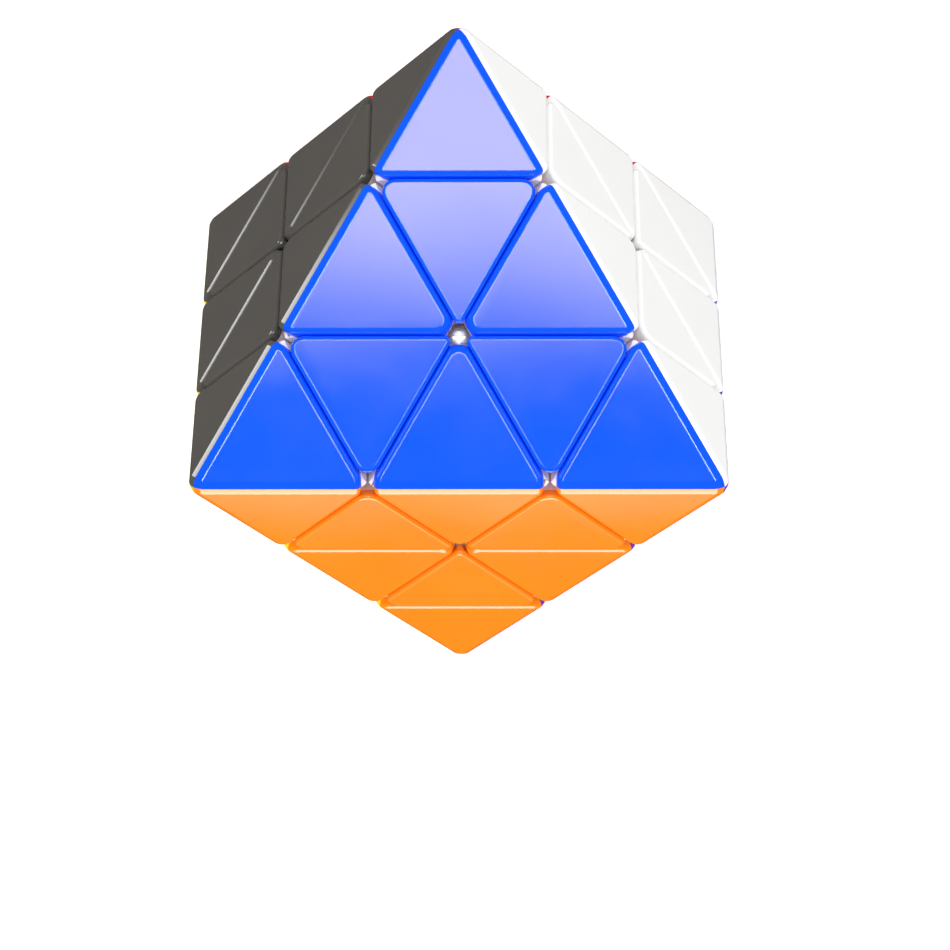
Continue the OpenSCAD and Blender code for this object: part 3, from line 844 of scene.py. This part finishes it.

# %% [markdown]
# ## The floor
# A wide, pale, matt floor that glows very faintly, as a lit table does, so that it stays white right up
# to the toy. It doesn't belong to the toy.

# %%
floor_mesh = bmesh.new()
bmesh.ops.create_grid(floor_mesh, x_segments=1, y_segments=1, size=6)
floor = keep_mesh("floor", floor_mesh)
floor_paint = bpy.data.materials.new("floor_paint")
floor_paint.use_nodes = True
floor_shader = floor_paint.node_tree.nodes["Principled BSDF"]
floor_shader.inputs["Base Color"].default_value = (0.9, 0.9, 0.9, 1)
floor_shader.inputs["Roughness"].default_value = 0.9
floor_shader.inputs["Emission Color"].default_value = (1, 1, 1, 1)
floor_shader.inputs["Emission Strength"].default_value = 0.3
floor.data.materials.append(floor_paint)
print("floor ready")

# %% [markdown]
# ## The light
# An even white sky lights the colours of the plastic. What makes plastic look glossy is what it mirrors,
# so the shine has lights of its own: soft cards that only reflections can see. One hangs high above and
# fades in towards the rear, so the rear blue tiles turn lavender and the front ones stay deep blue. Two
# more flank it and draw the thin bright line round each tile, and three stand low round the toy. The two
# at the rear are far and narrow, so that curved edges catch them but a flat side tile seldom does.
# A faint card low in front makes the orange side paler near its upper edge. Light is followed for twelve
# bounces, because it has to find its way into narrow grooves of one colour.

# %%
SKY = 1.38
SKY_IN_SHINE = 0.05
world = bpy.data.worlds.new("sky")
scene.world = world
world.use_nodes = True
sky = world.node_tree.nodes["Background"]
sky.inputs["Color"].default_value = (1, 1, 1, 1)
ray = world.node_tree.nodes.new("ShaderNodeLightPath")
level = world.node_tree.nodes.new("ShaderNodeMapRange")
level.inputs["To Min"].default_value = SKY
level.inputs["To Max"].default_value = SKY_IN_SHINE
world.node_tree.links.new(ray.outputs["Is Glossy Ray"], level.inputs["Value"])
world.node_tree.links.new(level.outputs["Result"], sky.inputs["Strength"])
scene.cycles.diffuse_bounces = 12


def card(name, where, width, height, light, fade, colour):
    """A card seen only in reflections, fading in over a share of its left, right, low and high side"""
    mesh = bmesh.new()
    bmesh.ops.create_grid(mesh, x_segments=1, y_segments=1, size=0.5)
    piece = keep_mesh(name, mesh)
    piece.matrix_world = where @ Matrix.Diagonal((width, height, 1, 1))
    paint = bpy.data.materials.new(name)
    paint.use_nodes = True
    tree = paint.node_tree
    tree.nodes.clear()
    spot = tree.nodes.new("ShaderNodeTexCoord")
    split = tree.nodes.new("ShaderNodeSeparateXYZ")
    tree.links.new(spot.outputs["Object"], split.inputs["Vector"])
    product = None
    for axis, sign, share in zip("XXYY", (1, -1, 1, -1), fade):
        ramp = tree.nodes.new("ShaderNodeMapRange")
        ramp.interpolation_type = "SMOOTHSTEP"
        ramp.inputs["From Min"].default_value = -0.5 * sign
        ramp.inputs["From Max"].default_value = (-0.5 + share) * sign
        tree.links.new(split.outputs[axis], ramp.inputs["Value"])
        if product is None:
            product = ramp.outputs["Result"]
            continue
        times = tree.nodes.new("ShaderNodeMath")
        times.operation = "MULTIPLY"
        tree.links.new(product, times.inputs[0])
        tree.links.new(ramp.outputs["Result"], times.inputs[1])
        product = times.outputs["Value"]
    strength = tree.nodes.new("ShaderNodeMath")
    strength.operation = "MULTIPLY"
    strength.inputs[1].default_value = light
    tree.links.new(product, strength.inputs[0])
    emit = tree.nodes.new("ShaderNodeEmission")
    emit.inputs["Color"].default_value = (*colour, 1)
    tree.links.new(strength.outputs["Value"], emit.inputs["Strength"])
    tree.links.new(emit.outputs["Emission"], tree.nodes.new("ShaderNodeOutputMaterial").inputs["Surface"])
    piece.data.materials.append(paint)
    piece.visible_camera = False
    piece.visible_diffuse = False
    piece.visible_shadow = False
    return piece


HIGH = 1.2
LILAC, COOL, WHITE = (1, 0.8, 1), (0.75, 0.9, 1), (1, 1, 1)
# sideways, towards the rear, width, height, strength, fade, colour
overhead = [
    (0, 0.238, 0.24, 0.344, 12.2, (0.05, 0.05, 0.235, 0.25), LILAC),
    (-0.235, 0.1, 0.23, 0.6, 16.0, (0.3, 0.15, 0.3, 0.3), COOL),
    (0.235, 0.1, 0.23, 0.6, 16.0, (0.15, 0.3, 0.3, 0.3), COOL),
]
for i, (x, y, width, height, light, fade, colour) in enumerate(overhead):
    where = Matrix.Translation((x, y, HIGH)) @ Matrix.Rotation(math.pi, 4, "Y")
    card(f"overhead_{i}", where, width, height, light, fade, colour)
upended = Matrix.Rotation(math.radians(90), 4, "X")
faint_at = Matrix.Translation((0, -1, -0.93)) @ upended
card("low_faint", faint_at, 1.2, 0.2, 0.85, (0.1, 0.1, 0.2, 0.3), WHITE)
# direction in degrees, strength, distance, height of the middle, width, height, fade
low_cards = [
    (0, 8.0, 1, -0.1, 1.2, 1.2, (0.3, 0.3, 0.3, 0.3)),
    (120, 5.0, 4, -0.52, 0.7, 4.8, (0.18, 0.18, 0.3, 0.3)),
    (240, 8.0, 4, -0.52, 0.7, 4.8, (0.18, 0.18, 0.3, 0.3)),
]
for azimuth, light, away, middle, width, height, fade in low_cards:
    turn = Matrix.Rotation(math.radians(azimuth), 4, "Z")
    stand = turn @ Matrix.Translation((0, -away, middle)) @ upended
    card(f"low_{azimuth}", stand, width, height, light, fade, WHITE)
floor.visible_glossy = False
scene.view_settings.view_transform = "Standard"
print("sky and", len(overhead) + len(low_cards) + 1, "cards ready")
